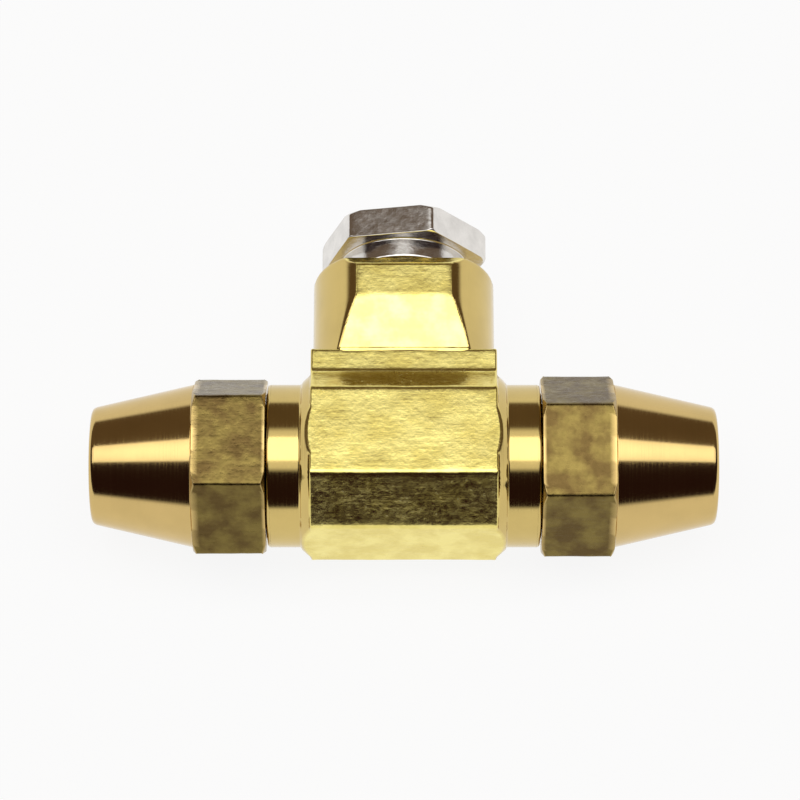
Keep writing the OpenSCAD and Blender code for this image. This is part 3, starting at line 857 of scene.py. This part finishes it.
inner_r = stem_r + 0.05
rings = [
    ("o_ring_backup", square_ring("o_ring_backup", 1.9), plastic, "stem_seal", "packing_plastic"),
    ("packing_washer", square_ring("packing_washer", inner_r), turned_brass, "valve", "turned_brass"),
    ("lower_packing_ring", vee_ring("lower_packing_ring", inner_r), plastic, "valve", "packing_plastic"),
    ("upper_packing_ring", vee_ring("upper_packing_ring", inner_r), plastic, "valve", "packing_plastic"),
    ("gland_follower", follower_ring("gland_follower", inner_r), turned_brass, "gland_follower",
     "turned_brass"),
]
for node, corners, material, body, slot in rings:
    build(f"{node}_ring", [ring_shell(to_stem, corners)], material, body, [node])


# %% The O-ring
def o_ring_shell():
    """A torus: a circle of the cord's radius carried round the stem axis."""
    outer, low, high = ring_box("stem_o_ring")
    cord = (high - low) / 2
    turn = np.linspace(0, 2 * math.pi, 25)[:-1, None] - math.pi / 2
    angle = np.linspace(0, 2 * math.pi, 97)[:-1]
    radius = outer - cord + cord * np.cos(turn)
    along = (low + high) / 2 + cord * np.sin(turn)
    return shell(around(to_stem, radius, angle, along), 0.0, 0.0, joined=True)


build("stem_o_ring_moulded", [o_ring_shell()], rubber, "stem_seal", ["stem_o_ring"])

# %% [markdown]
# ## The table
# A pale table under a metal object is half of its picture: every downward face mirrors it. To the
# camera, and to metal that mirrors it, the table is nearly white; the rest of its answer is plain
# diffuse white, which keeps a faint shadow under the valve.

# %% The floor
def pale_floor():
    """Part white glow, seen by camera and mirror rays only, and part lit white paint."""
    material = bpy.data.materials.new("pale_floor")
    material.use_nodes = True
    tree = material.node_tree
    tree.nodes.clear()
    rays = add_node(tree, "ShaderNodeLightPath")
    seen = add_node(tree, "ShaderNodeMath", [(0, rays.outputs["Is Camera Ray"]),
                                             (1, rays.outputs["Is Glossy Ray"])], operation="ADD")
    seen = add_node(tree, "ShaderNodeMath", [(0, seen.outputs[0]),
                                             (1, rays.outputs["Is Transmission Ray"])], operation="ADD")
    share = add_node(tree, "ShaderNodeMath", [(0, seen.outputs[0]), (1, 0.9)], operation="MULTIPLY")
    share.use_clamp = True
    paint = add_node(tree, "ShaderNodeBsdfDiffuse", [("Color", (0.92, 0.92, 0.92, 1))])
    glow = add_node(tree, "ShaderNodeEmission", [("Color", (1, 1, 1, 1)), ("Strength", 1.0)])
    both = add_node(tree, "ShaderNodeMixShader", [(0, share.outputs[0]), (1, paint.outputs[0]),
                                                  (2, glow.outputs[0])])
    add_node(tree, "ShaderNodeOutputMaterial", [("Surface", both.outputs[0])])
    return material


half_floor, floor_height = 2.0, -0.00002
floor_mesh = bpy.data.meshes.new("floor")
floor_corners = [(-half_floor, -half_floor), (half_floor, -half_floor), (half_floor, half_floor),
                 (-half_floor, half_floor)]
floor_mesh.from_pydata([(x, y, floor_height) for x, y in floor_corners], [], [(0, 1, 2, 3)])
floor_mesh.materials.append(pale_floor())
floor = bpy.data.objects.new("floor", floor_mesh)
bpy.context.collection.objects.link(floor)

# %% [markdown]
# ## Light
# Metal shows its surroundings. A soft rectangle of light straight above gives each rounded piece
# one bright stripe, and is long in X so that the coned tails of the nuts catch it too. The pale band
# low down round the table gives the silhouettes their light edges, and the dark room between them
# gives the deep tones that make brass look like metal. The
# room is a world whose brightness depends only on the direction, the same for every ray.

# %% The overhead light
light_data = bpy.data.lights.new("overhead", "AREA")
light_data.shape = "RECTANGLE"
light_height = 0.6
light_data.size, light_data.size_y = 1.5, 0.36
light_radiance = 1.5
light_data.energy = light_radiance * math.pi * light_data.size * light_data.size_y
overhead = bpy.data.objects.new("overhead", light_data)
overhead.location = (0, 0.005, light_height)
bpy.context.collection.objects.link(overhead)


# %% The room
def room():
    """World brightness by direction: a pale band low down, cut short on the camera's side, dark
    walls that are lighter and warmer on the far side, and a pale patch straight above."""
    world = bpy.data.worlds.new("room")
    world.use_nodes = True
    tree = world.node_tree
    tree.nodes.clear()
    direction = add_node(tree, "ShaderNodeTexCoord").outputs["Generated"]
    parts = add_node(tree, "ShaderNodeSeparateXYZ", [("Vector", direction)])
    near = remap(tree, parts.outputs["Y"], -0.75, -0.35, 1.0, 0.0)
    band_top = remap(tree, near, 0.0, 1.0, 0.17, 0.03)
    above = add_node(tree, "ShaderNodeMath", [(0, parts.outputs["Z"]), (1, band_top)], operation="SUBTRACT")
    dark = remap(tree, above.outputs[0], 0.0, 0.1, 0.0, 1.0)
    halo = remap(tree, parts.outputs["Z"], 0.84, 0.9, 0.0, 1.0)
    back_side = remap(tree, parts.outputs["Y"], -0.1, 0.35, 0.0, 1.0)
    dim = mix(tree, back_side, (0.022, 0.009, 0.010, 1), (0.13, 0.09, 0.06, 1))
    walls = mix(tree, halo, dim, (1.0, 0.99, 0.97, 1))
    colour = mix(tree, dark, (0.97, 0.97, 0.97, 1), walls)
    back = add_node(tree, "ShaderNodeBackground", [("Color", colour), ("Strength", 1.0)])
    add_node(tree, "ShaderNodeOutputWorld", [("Surface", back.outputs[0])])
    return world


scene = bpy.context.scene
scene.world = room()
scene.view_settings.view_transform = "Standard"

# %% [markdown]
# ## Camera
# A long lens from well above the table, on the side of the block's foot: the foot and the underside
# of the gland nut both show, and the nuts stay nearly free of perspective.

# %% The camera
elevation = math.radians(65)
sight = Vector((0, -math.cos(elevation), math.sin(elevation)))
up = Vector((0, math.sin(elevation), math.cos(elevation)))
distance, frame_width = 0.298, 0.0630
aim = Vector((-0.0003, 0, axis_z * MM)) + up * 0.0052
camera_data = bpy.data.cameras.new("camera")
camera_data.sensor_width = 36
camera_data.lens = 36 * distance / frame_width
camera_data.clip_start, camera_data.clip_end = 0.01, 10
camera = bpy.data.objects.new("camera", camera_data)
camera.rotation_mode = "QUATERNION"
camera.location = aim + sight * distance
camera.rotation_quaternion = (-sight).to_track_quat("-Z", "Y")
bpy.context.collection.objects.link(camera)
scene.camera = camera
print("camera at", [round(v, 4) for v in camera.location])
